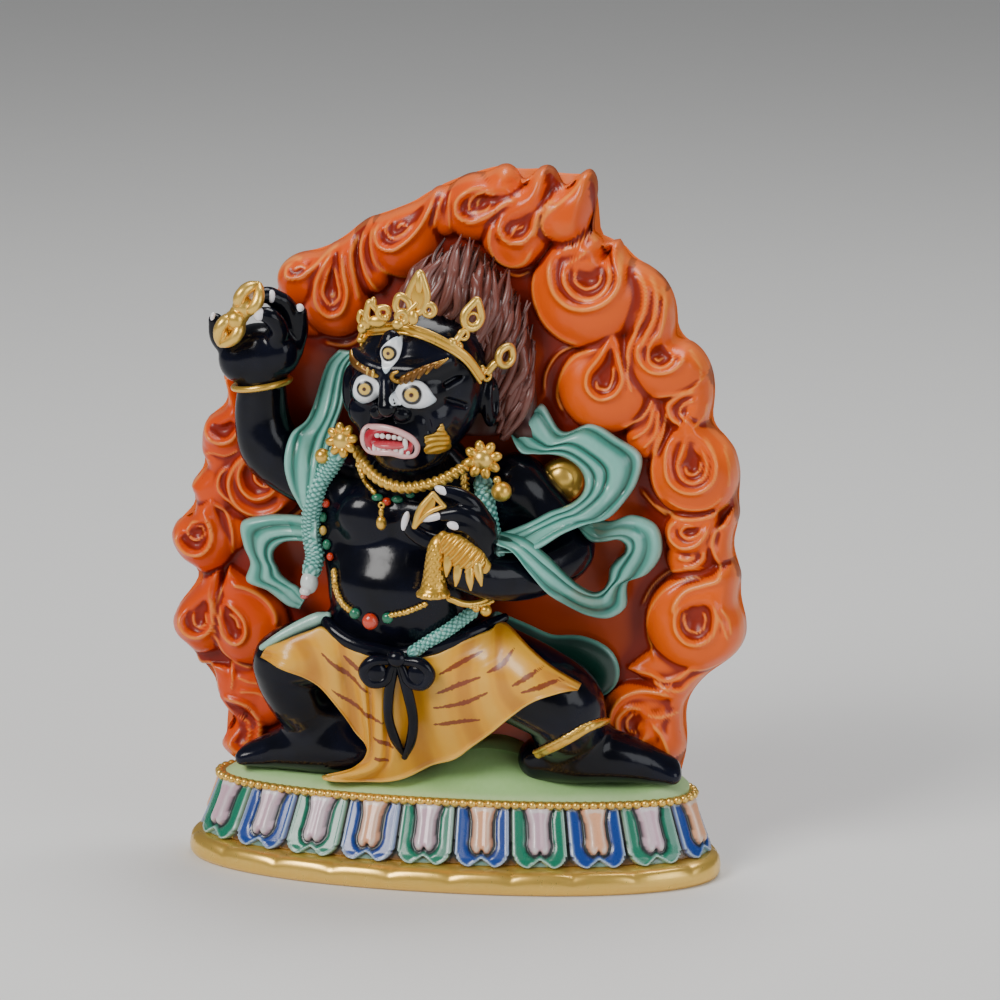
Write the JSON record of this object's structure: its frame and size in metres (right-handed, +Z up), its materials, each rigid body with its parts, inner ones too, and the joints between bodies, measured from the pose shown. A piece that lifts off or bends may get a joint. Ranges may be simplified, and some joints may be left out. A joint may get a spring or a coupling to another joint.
{
  "type": "vajrapani statue",
  "caption": "Painted resin statue of a wrathful protector deity, lunging before a wall of curling flames on an oval lotus plinth.",
  "frame": {"origin": "middle of the flat underside of the plinth", "axes": "+Z up, -Y the front, +X to the right as seen from the front"},
  "size_m": [0.1671, 0.0683, 0.204],
  "materials": {
    "flame_orange": "gloss hand-painted resin, light orange on the ridges and dark red in the creases",
    "skin_navy": "high gloss blue-black enamel",
    "paint_gold": "satin gold paint with brown in the recesses",
    "scarf_teal": "satin teal paint, pale on the folds",
    "skirt_ochre": "satin ochre paint with cream folds and brown-red stripes",
    "hair_brown": "satin brown-red paint with pinkish strands",
    "ground_green": "satin light green paint",
    "petal_paint": "gloss green and blue petals with pink and peach tongues",
    "trim_paint": "gloss white, coral, green and red paint on eyes, nails, teeth and beads"
  },
  "bodies": {
    "root": {"statue": "flame_orange"}
  },
  "joints": []
}
